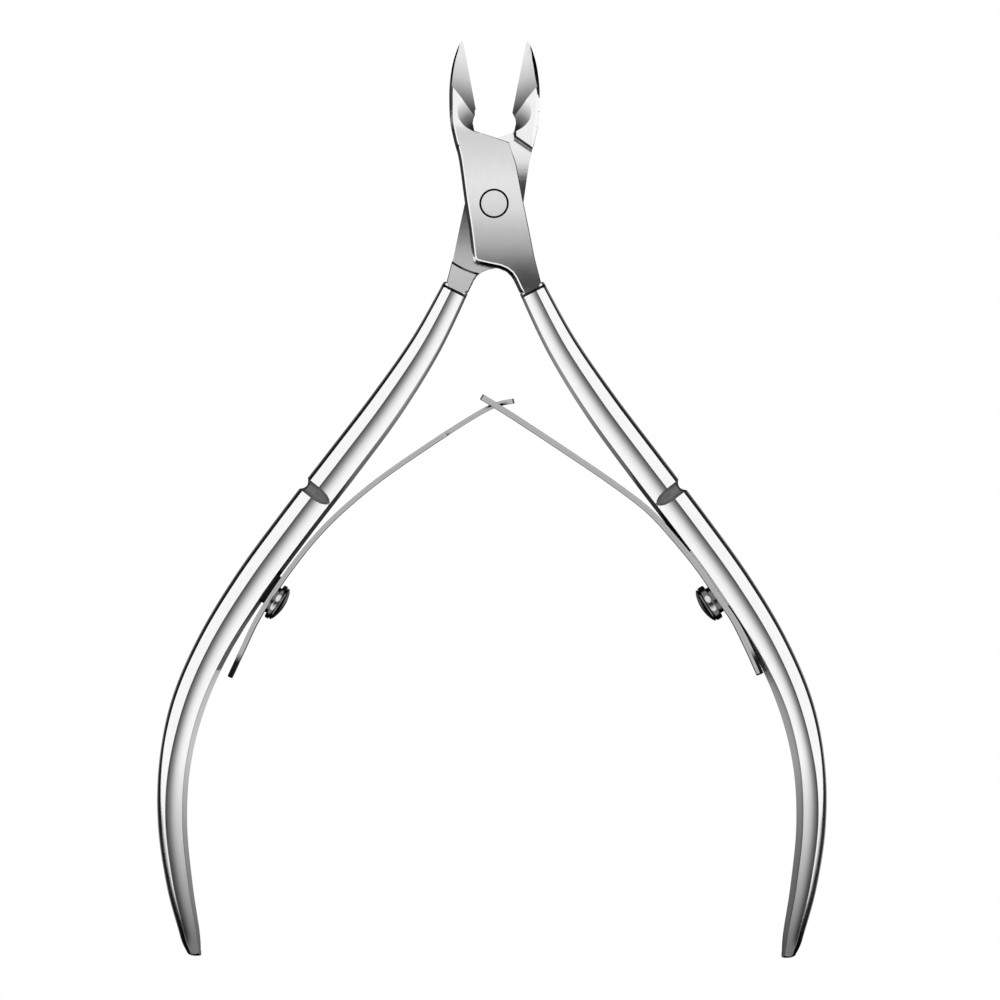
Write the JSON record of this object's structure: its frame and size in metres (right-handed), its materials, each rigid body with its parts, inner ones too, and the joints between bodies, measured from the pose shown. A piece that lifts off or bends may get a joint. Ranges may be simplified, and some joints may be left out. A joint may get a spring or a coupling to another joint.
{
  "type": "cuticle nipper",
  "caption": "Hand cuticle nipper with a lap joint, slim bowed handles, hollow-ground jaws and two crossed leaf springs that hold it open.",
  "frame": {"origin": "on the pivot axis, in the flush back face of the lap joint", "axes": "+Y towards the tips of the jaws, +X to the right of a viewer who looks at the front, +Z towards that viewer, square to the flat nipper"},
  "size_m": [0.0836, 0.1144, 0.0052],
  "materials": {
    "polished_steel": "mirror-polished stainless steel, finely brushed on the joint plates and the ground facets",
    "satin_steel": "fine satin, ground flush with the plate",
    "spring_steel": "rolled strip, half bright",
    "screw_steel": "polished, turned"
  },
  "bodies": {
    "back_arm": {"back_arm": "polished_steel", "pivot_rivet": "satin_steel", "left_spring_foot": "spring_steel", "left_spring_screw": "screw_steel"},
    "front_arm": {"front_arm": "polished_steel", "right_spring_foot": "spring_steel", "right_spring_screw": "screw_steel"},
    "left_spring_blade": {"left_spring_blade": "spring_steel"},
    "right_spring_blade": {"right_spring_blade": "spring_steel"}
  },
  "joints": [
    {"name": "pivot", "type": "hinge", "parent": "back_arm", "child": "front_arm", "pos_m": [0, 0, 0.0026], "axis": [0, 0, 1], "range_deg": [-21.8, 0], "stiffness_Nm_per_rad": 1.2},
    {"name": "right_spring_flex", "type": "hinge", "parent": "front_arm", "child": "right_spring_blade", "pos_m": [0.01857, -0.03771, 0.0026], "axis": [0, 0, 1], "range_deg": [-15.6, 0]},
    {"name": "left_spring_flex", "type": "hinge", "parent": "back_arm", "child": "left_spring_blade", "pos_m": [-0.01857, -0.03771, 0.0026], "axis": [0, 0, 1], "range_deg": [0, 15.6]}
  ],
  "couplings": [
    {"joint": "right_spring_flex", "follows": "pivot", "ratio": 0.692},
    {"joint": "left_spring_flex", "follows": "pivot", "ratio": -0.692}
  ]
}
